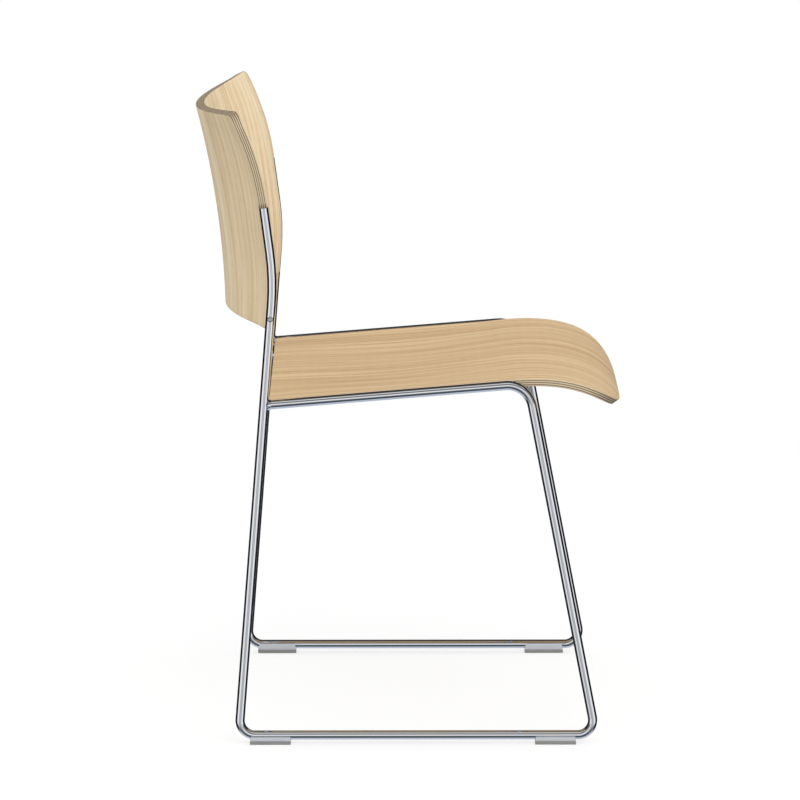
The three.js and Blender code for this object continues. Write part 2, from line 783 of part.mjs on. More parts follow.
function chair() {
  const group = new THREE.Group();
  group.add(seatShell(), backShell());
  group.add(crossRod("front_cross_rod", frontCrossX, frontCrossZ));
  group.add(crossRod("rear_cross_rod", rearCross.x, rearCrossZ));
  for (const side of sides) {
    group.add(sideFrame(side), ...glides(side), ...backFastenings(side));
    for (const row of tabRows) group.add(...seatFastenings(row, side));
  }
  return group;
}

// The origin is the middle of the chair's outline, on the floor.
const assembly = chair();
const middle = new THREE.Box3().setFromObject(assembly).getCenter(new THREE.Vector3());
assembly.position.x = -middle.x;

const part = new THREE.Group();
part.add(assembly);

export default part;
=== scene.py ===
"""Stacking chair: polished rod frames with a moulded oak plywood seat and back.

Metres, +Z up, sitter facing +X.
"""
import math
from math import cos, pi, radians, sin, tan

import bpy
import numpy as np
from mathutils import Matrix, Vector
from mathutils.geometry import delaunay_2d_cdt


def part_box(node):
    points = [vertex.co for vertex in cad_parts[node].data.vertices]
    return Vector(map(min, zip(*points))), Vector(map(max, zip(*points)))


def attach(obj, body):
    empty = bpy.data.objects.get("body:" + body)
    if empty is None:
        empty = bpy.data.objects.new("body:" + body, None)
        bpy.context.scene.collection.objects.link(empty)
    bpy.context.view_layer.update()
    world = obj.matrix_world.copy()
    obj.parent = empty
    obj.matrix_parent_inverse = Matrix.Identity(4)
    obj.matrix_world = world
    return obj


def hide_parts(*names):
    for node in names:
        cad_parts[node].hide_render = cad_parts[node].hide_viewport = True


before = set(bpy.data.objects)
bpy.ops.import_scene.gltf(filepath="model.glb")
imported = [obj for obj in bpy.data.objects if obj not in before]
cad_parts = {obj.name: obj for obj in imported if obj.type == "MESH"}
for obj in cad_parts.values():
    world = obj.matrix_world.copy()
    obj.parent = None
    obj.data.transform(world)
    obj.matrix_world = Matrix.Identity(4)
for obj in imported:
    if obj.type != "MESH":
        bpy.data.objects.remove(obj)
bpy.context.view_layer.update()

SIDES = (("right", -1), ("left", 1))
ROWS = ("front", "rear")

# ---------------------------------------------------------------- sizes, in metres and radians

ROD = 0.00555
LEAN = radians(2.89)
REAR_LEG = radians(4.46)
FRONT_LEG = radians(10.98)
RAIL_RISE = radians(4.65)
UPPER_LEAN = radians(7.57)
RUNNER = 0.4265
RAIL_HEIGHT = 0.3975
BACK_BEND = 0.5482
UPRIGHT_END = 0.6329
FLOOR_BEND = 0.018
KNEE_BEND = 0.030
UPPER_BEND = 0.300
SIDE_ARC = 0.325
GLIDE_INSET = 0.0133

SEAT_PLY = 0.009
SEAT_TOP = 0.00415
SEAT_HOLLOW = 0.006
LIP_START = 0.0417
LIP_ANGLE = radians(58)
LIP_PULL = 0.073
CREST_PULL = 0.0149
HOLLOW_END = 0.0104
FRONT_CORNER = 0.075
FRONT_POWER = 3.85
REAR_CORNER = 0.008

BACK_PLY = 0.011
BACK_TOP = 0.7407
BACK_RISE = 0.012
SPINE_X = -0.014
SPINE_LEAN = radians(1.72)
SPINE_ARC = 1.090
SECTION_FLATTENING = 0.25
EDGE_FLATTENING = 0.045
TOP_CORNER = 0.020
LOWER_CORNER = 0.004
FIT_GAP = 0.0003

EDGE_ROUND = 0.0005
SEAT_PLIES = 7
BACK_PLIES = 9
PLY_RELIEF = 0.00004
SHELL_GRID = 0.006
CURVE_STEP = radians(3)
SHARP_ANGLE = radians(30)
CORNER_DROP = 0.0008  # of the top corners, where the top edge flattens
RAIL_END = ROD * 0.9  # where the rail stops, in front of the upright's middle

BACK_SCREW = 0.002  # radii and heights of screws
BUTTON_HEAD = 0.0034
BUTTON_HEIGHT = 0.0014
SEAT_SCREW = 0.0025
CAP_HEAD = 0.00475
CAP_HEIGHT = 0.0026
CAP_TILT = 0.0006  # what the tilt of a seat screw adds to the height of its box
TAB_ARRIS = 0.0004
SADDLE_ARRIS = 0.0003
SOLE_ARRIS = 0.00035

GROWTH_DEPTH = 0.50
STREAK_DEPTH = 0.50

# ---------------------------------------------------------------- the frame's own geometry

rear_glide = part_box("glide_sole_rear_right")
seat_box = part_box("seat_shell")
back_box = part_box("back_shell")
REAR_X = rear_glide[0].x - GLIDE_INSET
FRAME_Y = -(rear_glide[0].y + rear_glide[1].y) / 2
RUNNER_Z = rear_glide[1].z + FIT_GAP + ROD


def up_rear_leg(v):
    return Vector((v * tan(REAR_LEG), v))


UPPER = Vector((-sin(UPPER_LEAN), cos(UPPER_LEAN)))
RAIL = Vector((cos(RAIL_RISE), sin(RAIL_RISE)))
RAIL_FOOT = up_rear_leg(RAIL_HEIGHT)
BEND = up_rear_leg(BACK_BEND)
TIP = BEND + UPPER * (UPRIGHT_END - BACK_BEND) / UPPER.y
LEG_SLOPE = tan(FRONT_LEG)
KNEE_X = (RUNNER + LEG_SLOPE * (tan(RAIL_RISE) * RAIL_FOOT.x - RAIL_FOOT.y))
KNEE_X /= 1 + LEG_SLOPE * tan(RAIL_RISE)
KNEE = Vector((KNEE_X, RAIL_FOOT.y + tan(RAIL_RISE) * (KNEE_X - RAIL_FOOT.x)))
RAIL_SLOPE = tan(RAIL_RISE) * cos(LEAN)


def height_of(v):
    return RUNNER_Z + v * cos(LEAN)


def half_spread(z):
    return FRAME_Y - (z - RUNNER_Z) * tan(LEAN)


def frame_matrix(sign):
    """A side frame's plane: local X forwards, local Y up the plane, local Z across it."""
    place = Matrix.Translation((REAR_X, sign * FRAME_Y, RUNNER_Z))
    return place @ Matrix.Rotation(pi / 2 + sign * LEAN, 4, "X")


# ---------------------------------------------------------------- mesh helpers


def new_object(name, verts, faces, smooth=True):
    mesh = bpy.data.meshes.new(name)
    mesh.from_pydata([tuple(v) for v in verts], [], faces)
    mesh.validate()
    mesh.update()
    mesh.polygons.foreach_set("use_smooth", [smooth] * len(mesh.polygons))
    obj = bpy.data.objects.new(name, mesh)
    bpy.context.scene.collection.objects.link(obj)
    return obj


def stand_in(obj, slot, material, *nodes):
    """A finished piece that takes the place of plain nodes and rides on the chair."""
    obj.data.materials.clear()
    obj.data.materials.append(material)
    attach(obj, "root")
    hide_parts(*nodes)


def soften(obj, width):
    """Rounds the sharp edges of a piece and evens its shading."""
    bevel = obj.modifiers.new("edges", "BEVEL")
    bevel.width = width
    bevel.segments = 3
    bevel.limit_method = "ANGLE"
    bevel.angle_limit = SHARP_ANGLE
    bevel.harden_normals = True
    apply_modifiers(obj)


def apply_modifiers(obj):
    shown = obj.evaluated_get(bpy.context.evaluated_depsgraph_get())
    obj.data = bpy.data.meshes.new_from_object(shown)
    obj.modifiers.clear()


def ring_strip(rings, closed=True):
    """Verts and faces of a skin over rings of equal length, shut at both ends."""
    count = len(rings[0])
    verts = [point for ring in rings for point in ring]
    faces = []
    for i in range(len(rings) - 1):
        for j in range(count):
            k = (j + 1) % count
            faces.append((i * count + j, i * count + k, (i + 1) * count + k, (i + 1) * count + j))
    if closed:
        last = (len(rings) - 1) * count
        faces.append(tuple(reversed(range(count))))
        faces.append(tuple(last + j for j in range(count)))
    return verts, faces


def turned(name, profile, matrix, sides=48, shape=None):
    """A piece turned about local Z from (radius, z) pairs; shape(i, angle) may vary the radius of ring i."""
    rings = []
    for i, (radius, z) in enumerate(profile):
        ring = []
        for j in range(sides):
            angle = 2 * pi * j / sides
            r = radius * (shape(i, angle) if shape else 1)
            ring.append(matrix @ Vector((r * cos(angle), r * sin(angle), z)))
        rings.append(ring)
    verts, faces = ring_strip(rings)
    return new_object(name, verts, faces)


def join_into(target, *others):
    with bpy.context.temp_override(active_object=target, selected_editable_objects=[target, *others]):
        bpy.ops.object.join()


def facing(origin, axis):
    return Matrix.Translation(origin) @ axis.to_track_quat("Z", "Y").to_matrix().to_4x4()


# ---------------------------------------------------------------- node materials

# Output numbers of nodes.
DIRECTION = 0
OBJECT_PLACE = 3
FACTOR = 2
LENGTH = 1

# Input and output numbers of a Mix node that mixes colours.
MIX_FACTOR, MIX_A, MIX_B, MIX_RESULT = 0, 6, 7, 2


class NodeTree:
    """A small helper that adds nodes to a tree and links them."""

    def __init__(self, tree):
        self.nodes = tree.nodes
        self.links = tree.links

    def add(self, kind, inputs=(), output=0, **settings):
        made = self.nodes.new("ShaderNode" + kind)
        for key, value in settings.items():
            setattr(made, key, value)
        for key, value in dict(inputs).items():
            self.put(made.inputs[key], value)
        return made.outputs[output]

    def put(self, socket, value):
        if isinstance(value, bpy.types.NodeSocket):
            self.links.new(value, socket)
        else:
            socket.default_value = value

    def maths(self, operation, a, b=0.0, c=0.0):
        return self.add("Math", {0: a, 1: b, 2: c}, operation=operation)

    def noise(self, vector, scale, detail=2.0, rough=0.5, distortion=0.0):
        return self.add("TexNoise", {"Vector": vector, "Scale": scale, "Detail": detail,
                                     "Roughness": rough, "Distortion": distortion})

    def ramp(self, value, *stops):
        """A colour ramp from (position, grey or colour) stops."""
        made = self.nodes.new("ShaderNodeValToRGB")
        ramp = made.color_ramp
        while len(ramp.elements) < len(stops):
            ramp.elements.new(0.5)
        for element, (position, colour) in zip(ramp.elements, stops):
            element.position = position
            grey = isinstance(colour, (int, float))
            element.color = (colour, colour, colour, 1) if grey else (*colour, 1)
        self.put(made.inputs[0], value)
        return made.outputs[0]

    def mix(self, factor, a, b, blend="MIX"):
        made = self.nodes.new("ShaderNodeMix")
        made.data_type = "RGBA"
        made.blend_type = blend
        for key, value in ((MIX_FACTOR, factor), (MIX_A, a), (MIX_B, b)):
            if key != MIX_FACTOR and isinstance(value, tuple):
                value = (*value, 1)
            self.put(made.inputs[key], value)
        return made.outputs[MIX_RESULT]

    def stretched(self, source, scales, order=(0, 1, 2)):
        """Coordinates with each axis scaled, in the order across, along, depth."""
        parts = self.nodes.new("ShaderNodeSeparateXYZ")
        self.put(parts.inputs[0], source)
        joined = self.nodes.new("ShaderNodeCombineXYZ")
        for i, (axis, scale) in enumerate(zip(order, scales)):
            self.put(joined.inputs[i], self.maths("MULTIPLY", parts.outputs[axis], scale))
        return joined.outputs[0]

    def bump(self, height, strength, distance):
        return self.add("Bump", {"Height": height, "Strength": strength, "Distance": distance})


class Shader(NodeTree):
    """A new material with a Principled surface."""

    def __init__(self, name):
        self.material = bpy.data.materials.new(name)
        self.material.use_nodes = True
        super().__init__(self.material.node_tree)
        self.surface = self.nodes["Principled BSDF"]

    def set(self, **values):
        for key, value in values.items():
            self.put(self.surface.inputs[key.replace("_", " ")], value)


def oak_veneer(name, along, light, mid, dark, seed):
    """Lacquered oak face veneer: soft leaves of colour, growth lines, fine streaks and short open pores."""
    s = Shader(name)
    order = (1, along, 2 - along)
    face = s.add("Attribute", attribute_name="depth_share", output=FACTOR)
    lift = s.maths("MULTIPLY_ADD", face, 7.3, seed)
    aside = s.add("CombineXYZ", {0: lift, 1: s.maths("MULTIPLY", lift, 3.1), 2: 0.0})
    place = s.stretched(s.add("TexCoord", output=OBJECT_PLACE), (1.0, 1.0, 0.0), order)
    flat = s.add("VectorMath", {0: place, 1: aside}, operation="ADD")
    wander = s.noise(s.stretched(flat, (4.0, 2.2, 1.0)), 1.0, 2.0, 0.5)
    shift = s.add("CombineXYZ", {0: s.maths("MULTIPLY_ADD", wander, 0.05, -0.025)})
    waved = s.add("VectorMath", {0: flat, 1: shift}, operation="ADD")
    leaf = s.ramp(s.noise(s.stretched(waved, (22.0, 0.8, 1.0)), 1.0, 3.0, 0.55), (0.36, 0.0), (0.64, 1.0))
    rings = s.noise(s.stretched(waved, (95.0, 1.5, 1.0)), 1.0, 5.0, 0.75, 0.25)
    growth = s.ramp(rings, (0.46, 0.0), (0.57, 1.0))
    streak = s.noise(s.stretched(waved, (230.0, 3.0, 1.0)), 1.0, 4.0, 0.72)
    dark_streak = s.ramp(streak, (0.50, 0.0), (0.68, 1.0))
    light_streak = s.ramp(streak, (0.34, 1.0), (0.48, 0.0))
    fibre = s.noise(s.stretched(waved, (1500.0, 30.0, 1.0)), 1.0, 2.0, 0.5)
    pores = s.ramp(s.noise(s.stretched(waved, (2000.0, 70.0, 1.0)), 1.0, 1.0, 0.5), (0.58, 0.0), (0.70, 1.0))
    colour = s.mix(leaf, light, mid)
    colour = s.mix(s.maths("MULTIPLY", growth, GROWTH_DEPTH), colour, dark)
    colour = s.mix(s.maths("MULTIPLY", light_streak, 0.5), colour, light)
    colour = s.mix(s.maths("MULTIPLY", dark_streak, STREAK_DEPTH), colour, dark)
    grey = s.maths("MULTIPLY_ADD", fibre, 0.22, 0.89)
    colour = s.mix(1.0, colour, s.add("CombineColor", {0: grey, 1: grey, 2: grey}), "MULTIPLY")
    pore_depth = s.maths("MULTIPLY", pores, s.maths("MULTIPLY_ADD", growth, 0.30, 0.14))
    colour = s.mix(pore_depth, colour, tuple(c * 0.4 for c in dark))
    relief = s.maths("SUBTRACT", s.maths("MULTIPLY", fibre, 0.35), pores)
    s.set(Base_Color=colour, Roughness=s.maths("MULTIPLY_ADD", fibre, 0.16, 0.40),
          Normal=s.bump(relief, 0.22, 0.00012), Coat_Weight=0.08, Coat_Roughness=0.3)
    return s.material


def ply_edge(name, plies, light, dark):
    """Sanded plywood edge: plies turned crosswise to each other show as alternate dark and light lines."""
    s = Shader(name)
    depth = s.add("Attribute", attribute_name="depth_share", output=FACTOR)
    end = s.add("Attribute", attribute_name="end_grain", output=FACTOR)
    place = s.add("TexCoord", output=OBJECT_PLACE)
    waver = s.maths("MULTIPLY_ADD", s.noise(place, 30.0, 2.0), 0.24, -0.12)
    middle = s.maths("SUBTRACT", waver, 0.5)
    count = s.maths("MULTIPLY_ADD", depth, float(plies), middle)
    ply = s.maths("PINGPONG", count, 1.0)
    mottled = s.noise(place, 700.0, 3.0, 0.6)
    run = s.noise(place, 90.0, 3.0, 0.6)
    line = s.ramp(ply, (0.55, 0.0), (0.75, 1.0))
    turned_line = s.ramp(ply, (0.30, 1.0), (0.48, 0.0))
    long_grain = s.mix(s.maths("MULTIPLY", mottled, 0.6), light, tuple(c * 0.74 for c in light))
    cross_grain = s.mix(run, dark, tuple(c * 0.45 for c in dark))
    side_edge = s.mix(line, long_grain, cross_grain)
    end_edge = s.mix(s.maths("MULTIPLY", turned_line, 0.75), cross_grain, long_grain)
    s.set(Base_Color=s.mix(end, side_edge, end_edge), Roughness=s.maths("MULTIPLY_ADD", mottled, 0.2, 0.45),
          Normal=s.bump(mottled, 0.25, 0.0001))
    return s.material


def chrome_plate():
    """Polished chrome on drawn rod: faint polishing lines and a trace of handling haze."""
    s = Shader("chrome_plate")
    place = s.add("TexCoord", output=OBJECT_PLACE)
    haze = s.noise(place, 38.0, 3.0, 0.6)
    lines = s.noise(s.stretched(place, (900.0, 900.0, 60.0)), 1.0, 2.0)
    s.set(Base_Color=s.mix(haze, (0.90, 0.91, 0.93), (0.84, 0.855, 0.885)), Metallic=1.0,
          Roughness=s.maths("MULTIPLY_ADD", s.ramp(haze, (0.45, 0.0), (0.8, 1.0)), 0.05, 0.035),
          Normal=s.bump(lines, 0.03, 0.00002))
    return s.material


def zinc_plate():
    s = Shader("zinc_plate")
    place = s.add("TexCoord", output=OBJECT_PLACE)
    cloud = s.noise(place, 600.0, 3.0, 0.6)
    s.set(Base_Color=s.mix(cloud, (0.72, 0.74, 0.80), (0.56, 0.58, 0.64)), Metallic=1.0,
          Roughness=s.maths("MULTIPLY_ADD", cloud, 0.2, 0.22), Normal=s.bump(cloud, 0.1, 0.00005))
    return s.material


def turned_brass():
    s = Shader("turned_brass")
    place = s.add("TexCoord", output=OBJECT_PLACE)
    rings = s.noise(place, 2400.0, 2.0)
    s.set(Base_Color=s.mix(rings, (0.78, 0.62, 0.32), (0.62, 0.46, 0.2)), Metallic=1.0,
          Roughness=s.maths("MULTIPLY_ADD", rings, 0.2, 0.25))
    return s.material


def clear_plastic():
    """Clear, slightly blue moulded plastic, a little clouded and scuffed."""
    s = Shader("clear_plastic")
    place = s.add("TexCoord", output=OBJECT_PLACE)
    cloud = s.noise(place, 220.0, 3.0, 0.6)
    s.set(Base_Color=s.mix(cloud, (0.90, 0.93, 0.97), (0.80, 0.84, 0.90)), IOR=1.46, Transmission_Weight=0.30,
          Roughness=s.maths("MULTIPLY_ADD", cloud, 0.2, 0.12), Normal=s.bump(cloud, 0.15, 0.00008))
    return s.material


def grey_plastic():
    """Grey glide plastic with a fine moulded grain and a scuffed tread."""
    s = Shader("grey_plastic")
    place = s.add("TexCoord", output=OBJECT_PLACE)
    grain = s.noise(place, 1800.0, 3.0, 0.6)
    scuff = s.noise(s.stretched(place, (60.0, 500.0, 500.0)), 1.0, 3.0, 0.6)
    colour = s.mix(s.ramp(scuff, (0.45, 0.0), (0.75, 1.0)), (0.27, 0.27, 0.26), (0.35, 0.35, 0.335))
    s.set(Base_Color=colour, Roughness=s.maths("MULTIPLY_ADD", scuff, 0.2, 0.48),
          Normal=s.bump(s.maths("ADD", grain, scuff), 0.2, 0.00008))
    return s.material


CHROME = chrome_plate()
ZINC = zinc_plate()
BRASS = turned_brass()
CLEAR = clear_plastic()
GREY = grey_plastic()
SEAT_OAK = oak_veneer("seat_oak", 0, (0.80, 0.59, 0.33), (0.685, 0.47, 0.232), (0.475, 0.277, 0.105), 0.4)
BACK_OAK = oak_veneer("back_oak", 2, (0.96, 0.80, 0.55), (0.87, 0.69, 0.43), (0.66, 0.45, 0.22), 2.2)
LONG_PLY, CROSS_PLY = (0.74, 0.60, 0.40), (0.20, 0.13, 0.07)
SEAT_EDGE = ply_edge("seat_ply_edge", SEAT_PLIES, LONG_PLY, CROSS_PLY)
BACK_EDGE = ply_edge("back_ply_edge", BACK_PLIES, LONG_PLY, CROSS_PLY)

# ---------------------------------------------------------------- moulded plywood shells


def outline_inset(outline, amount):
    """A closed outline moved inwards by an amount, and its unit normals that point inwards."""
    count = len(outline)
    normals = []
    for i in range(count):
        before = outline[i] - outline[i - 1]
        after = outline[(i + 1) % count] - outline[i]
        side = Vector((-before.y, before.x)).normalized() + Vector((-after.y, after.x)).normalized()
        normals.append(side.normalized() / max(0.5, side.length / 2))
    return [p + n * amount for p, n in zip(outline, normals)], normals


def points_inside(outline, spacing):
    """Grid points inside an outline, kept clear of it."""
    ring = np.array([tuple(p) for p in outline])
    low, high = ring.min(0), ring.max(0)
    xs = np.arange(low[0] + spacing / 2, high[0], spacing)
    ys = np.arange(low[1] + spacing / 2, high[1], spacing)
    grid = np.stack(np.meshgrid(xs, ys, indexing="ij"), -1).reshape(-1, 2)
    a, b = ring, np.roll(ring, -1, 0)
    inside = np.zeros(len(grid), bool)
    nearest = np.full(len(grid), 1e9)
    for p, q in zip(a, b):
        spans = (p[1] > grid[:, 1]) != (q[1] > grid[:, 1])
        with np.errstate(divide="ignore", invalid="ignore"):
            crossing = (q[0] - p[0]) * (grid[:, 1] - p[1]) / (q[1] - p[1]) + p[0]
        inside ^= spans & (grid[:, 0] < crossing)
        along = np.clip(((grid - p) @ (q - p)) / max((q - p) @ (q - p), 1e-12), 0, 1)
        nearest = np.minimum(nearest, np.linalg.norm(grid - (p + along[:, None] * (q - p)), axis=1))
    return [Vector(g) for g in grid[inside & (nearest > spacing * 0.45)]]


def edge_rows(thickness, plies):
    """(depth, inset) of each row round a sanded ply edge: rounded arrises, and plies sunk by turns."""
    rows = []
    for angle in (0, 30, 60):
        rows.append((EDGE_ROUND * (1 - cos(radians(angle))), EDGE_ROUND * (1 - sin(radians(angle)))))
    step = thickness / plies
    for ply in range(1, plies - 1):
        sunk = PLY_RELIEF if ply % 2 else 0.0
        rows.append((step * (ply + 0.08), sunk))
        rows.append((step * (ply + 0.92), sunk))
    rows += [(thickness - depth, inset) for depth, inset in reversed(rows[:3])]
    return rows


def ply_shell(name, outline, place, thickness, plies, grain, faces_material, edges_material):
    """A moulded shell: place(p, depth) puts an outline point p at a depth under the upper face."""
    inner, normals = outline_inset(outline, EDGE_ROUND)
    count = len(outline)
    loop = [(i, (i + 1) % count) for i in range(count)]
    flat = inner + points_inside(inner, SHELL_GRID)
    points, _, triangles, origins, _, _ = delaunay_2d_cdt(flat, loop, [], 1, 1e-7)
    from_loop = {source: i for i, sources in enumerate(origins) for source in sources if source < count}
    verts, depths, ends, faces, slots = [], [], [], [], []
    for depth in (0.0, thickness):
        start = len(verts)
        verts += [place(p, depth) for p in points]
        depths += [depth / thickness] * len(points)
        ends += [0.0] * len(points)
        for triangle in triangles:
            ordered = triangle if depth == 0.0 else list(reversed(triangle))
            faces.append(tuple(start + i for i in ordered))
            slots.append(0)
    rows = edge_rows(thickness, plies)
    indices = []
    for number, (depth, inset) in enumerate(rows):
        if number in (0, len(rows) - 1):
            base = 0 if number == 0 else len(points)
            indices.append([base + from_loop[i] for i in range(count)])
            continue
        indices.append(list(range(len(verts), len(verts) + count)))
        verts += [place(p + n * inset, depth) for p, n in zip(outline, normals)]
        depths += [depth / thickness] * count
        ends += [abs(n.normalized()[grain]) ** 2 for n in normals]
    for number, (upper, lower) in enumerate(zip(indices, indices[1:])):
        for i, j in loop:
            faces.append((upper[j], upper[i], lower[i], lower[j]))
            slots.append(1)
    obj = new_object(name, verts, faces)
    obj.data.materials.append(faces_material)
    obj.data.materials.append(edges_material)
    obj.data.polygons.foreach_set("material_index", slots)
    for label, values in (("depth_share", depths), ("end_grain", ends)):
        obj.data.attributes.new(label, "FLOAT", "POINT").data.foreach_set("value", values)
    return obj


def arc(centre, radius, start, end, steps=8):
    return [centre + Vector((radius * cos(a), radius * sin(a))) for a in np.linspace(start, end, steps + 1)]


def filled(corners, spacing):
    """An outline with its long runs divided."""
    made = []
    for p, q in zip(corners, corners[1:] + corners[:1]):
        parts = max(1, round((q - p).length / spacing))
        made += [p.lerp(q, k / parts) for k in range(parts)]
    return made


# ---------------------------------------------------------------- seat shell

SEAT_REAR = seat_box[0].x
SEAT_HALF = seat_box[1].y
LIP_FROM = KNEE.x - LIP_START
HOLLOW_TO = KNEE.x - HOLLOW_END


def rail_z(x):
    return height_of(RAIL_FOOT.y) + RAIL_SLOPE * (x - RAIL_FOOT.x)


def lip_points():
    start = Vector((LIP_FROM, rail_z(LIP_FROM) + SEAT_TOP))
    edge = Vector((seat_box[1].x - REAR_X, lip_edge_z()))
    rise = math.atan(RAIL_SLOPE)
    second = start + Vector((cos(rise), sin(rise))) * CREST_PULL
    third = edge - Vector((cos(LIP_ANGLE), -sin(LIP_ANGLE))) * LIP_PULL
    return start, second, third, edge


def lip_edge_z():
    """The seat face at its front edge: the box's floor is the underside of that edge."""
    return seat_box[0].z + SEAT_PLY * cos(LIP_ANGLE)


def bezier(points, t):
    a, b, c, d = points
    return a * (1 - t) ** 3 + b * 3 * (1 - t) ** 2 * t + c * 3 * (1 - t) * t ** 2 + d * t ** 3


LIP = [bezier(lip_points(), t) for t in np.linspace(0, 1, 241)]
LIP_LENGTHS = np.concatenate([[0.0], np.cumsum([(q - p).length for p, q in zip(LIP, LIP[1:])])])
LIP_X = np.array([p.x for p in LIP])
LIP_Z = np.array([p.y for p in LIP])
LIP_SLOPE = np.gradient(LIP_Z, LIP_X)


def seat_face(x):
    if x <= LIP_FROM:
        return rail_z(x) + SEAT_TOP, RAIL_SLOPE
    return float(np.interp(x, LIP_X, LIP_Z)), float(np.interp(x, LIP_X, LIP_SLOPE))


def seat_place(p, depth):
    """Outline points are (distance along the face, y), so that the lip keeps its true length."""
    run = p.x
    if run <= LIP_FROM:
        x = run
    else:
        x = float(np.interp(run - LIP_FROM, LIP_LENGTHS, LIP_X))
    z, slope = seat_face(x)
    length = math.hypot(1, slope)
    start = SEAT_REAR - REAR_X
    share = min(1.0, max(0.0, (x - start) / (HOLLOW_TO - start)))
    hollow = SEAT_HOLLOW * sin(pi * share) ** 1.5 * (1 - (p.y / SEAT_HALF) ** 2)
    return Vector((REAR_X + x + depth * slope / length, p.y, z - hollow - depth / length))


def seat_run(x):
    return x if x <= LIP_FROM else LIP_FROM + float(np.interp(x, LIP_X, LIP_LENGTHS))


def seat_outline():
    rear = SEAT_REAR - REAR_X
    edge = seat_box[1].x - REAR_X
    corners = arc(Vector((rear + REAR_CORNER, SEAT_HALF - REAR_CORNER)), REAR_CORNER, pi / 2, pi)
    corners += arc(Vector((rear + REAR_CORNER, REAR_CORNER - SEAT_HALF)), REAR_CORNER, pi, 1.5 * pi)
    for angle in np.linspace(-pi / 2, pi / 2, 61):
        share = sin(angle)
        fall = FRONT_CORNER * (1 - max(0.0, 1 - abs(share) ** FRONT_POWER) ** (1 / FRONT_POWER))
        corners.append(Vector((seat_run(edge - fall), share * SEAT_HALF)))
    return filled(corners, SHELL_GRID)


def make_seat():
    obj = ply_shell("oak_seat", seat_outline(), seat_place, SEAT_PLY, SEAT_PLIES, 0, SEAT_OAK, SEAT_EDGE)
    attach(obj, "root")
    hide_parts("seat_shell")


# ---------------------------------------------------------------- back shell

BACK_FOOT = back_box[0].z


def arc_x(start, lean, radius, height):
    sine = (height - start.y) / radius - sin(lean)
    return start.x + radius * (math.sqrt(1 - sine ** 2) - cos(lean))


def back_edge_x(z):
    v = (z - RUNNER_Z) / cos(LEAN)
    reach = UPPER_BEND * tan((REAR_LEG + UPPER_LEAN) / 2)
    bend_start = BEND - Vector((sin(REAR_LEG), cos(REAR_LEG))) * reach
    bend_end = BEND + UPPER * reach
    if v <= bend_start.y:
        return up_rear_leg(v).x
    if v <= bend_end.y:
        return arc_x(bend_start, REAR_LEG, UPPER_BEND, v)
    if v <= TIP.y:
        return BEND.x - (v - BEND.y) * tan(UPPER_LEAN)
    return arc_x(TIP, -UPPER_LEAN, SIDE_ARC, v)


def section(share):
    curve = (1 + SECTION_FLATTENING + EDGE_FLATTENING) * share ** 2
    return curve - SECTION_FLATTENING * share ** 6 - EDGE_FLATTENING * share ** 24


def back_middle(y, z):
    across = section(y / half_spread(z))
    spine = arc_x(Vector((SPINE_X, BACK_FOOT)), -SPINE_LEAN, SPINE_ARC, z)
    return Vector((REAR_X + back_edge_x(z) * across + spine * (1 - across), y, z))


def back_place(p, depth):
    """Outline points are (y, z); depth runs from the sitter's face to the rear face."""
    y, z = p
    step = 0.0005
    along_y = back_middle(y + step, z) - back_middle(y - step, z)
    along_z = back_middle(y, z + step) - back_middle(y, z - step)
    normal = along_y.cross(along_z).normalized()
    return back_middle(y, z) + normal * (BACK_PLY / 2 - depth)


def back_outline():
    """From the lower right corner round over the top: narrow between the uprights, full width above them."""
    clear = (ROD + FIT_GAP) / cos(LEAN)
    full = ROD / cos(LEAN)
    shoulder = height_of(TIP.y) + FIT_GAP
    top_half = half_spread(BACK_TOP) + full
    foot_half = half_spread(BACK_FOOT) - clear
    right = arc(Vector((foot_half - LOWER_CORNER, BACK_FOOT + LOWER_CORNER)), LOWER_CORNER, -pi / 2, 0, 6)
    right.append(Vector((half_spread(shoulder) - clear, shoulder)))
    right.append(Vector((half_spread(shoulder) + full, shoulder)))
    top = []
    for y in np.linspace(-top_half + TOP_CORNER, top_half - TOP_CORNER, 61):
        top.append(Vector((y, BACK_TOP + BACK_RISE * section(y / top_half))))
    corner_z = BACK_TOP + BACK_RISE - TOP_CORNER
    corner = arc(Vector((top_half - TOP_CORNER, corner_z - CORNER_DROP)), TOP_CORNER, 0, pi / 2, 10)[:-1]
    half = right + corner
    mirrored = [Vector((-p.x, p.y)) for p in reversed(half)]
    return filled(half + list(reversed(top)) + mirrored, SHELL_GRID)


def make_back():
    obj = ply_shell("oak_back", back_outline(), back_place, BACK_PLY, BACK_PLIES, 1, BACK_OAK, BACK_EDGE)
    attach(obj, "root")
    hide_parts("back_shell")


# ---------------------------------------------------------------- bent rod frames

ROD_SIDES = 40
END_CHAMFER = 0.0006


def rod_stations():
    """(point, tangent) down the rod's centreline, from the top of the upright to the rail's weld."""
    corners = [(TIP, 0), (BEND, UPPER_BEND), (Vector((0, 0)), FLOOR_BEND), (Vector((RUNNER, 0)), FLOOR_BEND),
               (KNEE, KNEE_BEND), (RAIL_FOOT + RAIL * RAIL_END, 0)]
    stations = []
    for before, (at, radius), after in zip(corners, corners[1:], corners[2:]):
        entering = (at - before[0]).normalized()
        leaving = (after[0] - at).normalized()
        turn = math.atan2(entering.x * leaving.y - entering.y * leaving.x, entering.dot(leaving))
        steps = max(4, round(abs(turn) / CURVE_STEP))
        start = at - entering * radius * tan(abs(turn) / 2)
        centre = start + Vector((-entering.y, entering.x)) * math.copysign(radius, turn)
        for k in range(steps + 1):
            swing = Matrix.Rotation(turn * k / steps, 2)
            stations.append((centre + swing @ (start - centre), swing @ entering))
    first = (stations[0][0] - TIP).normalized()
    last = (corners[-1][0] - stations[-1][0]).normalized()
    end = [(TIP + first * reach, first) for reach in (0, END_CHAMFER, 2 * END_CHAMFER)]
    return [*end, *stations, (corners[-1][0], last)]


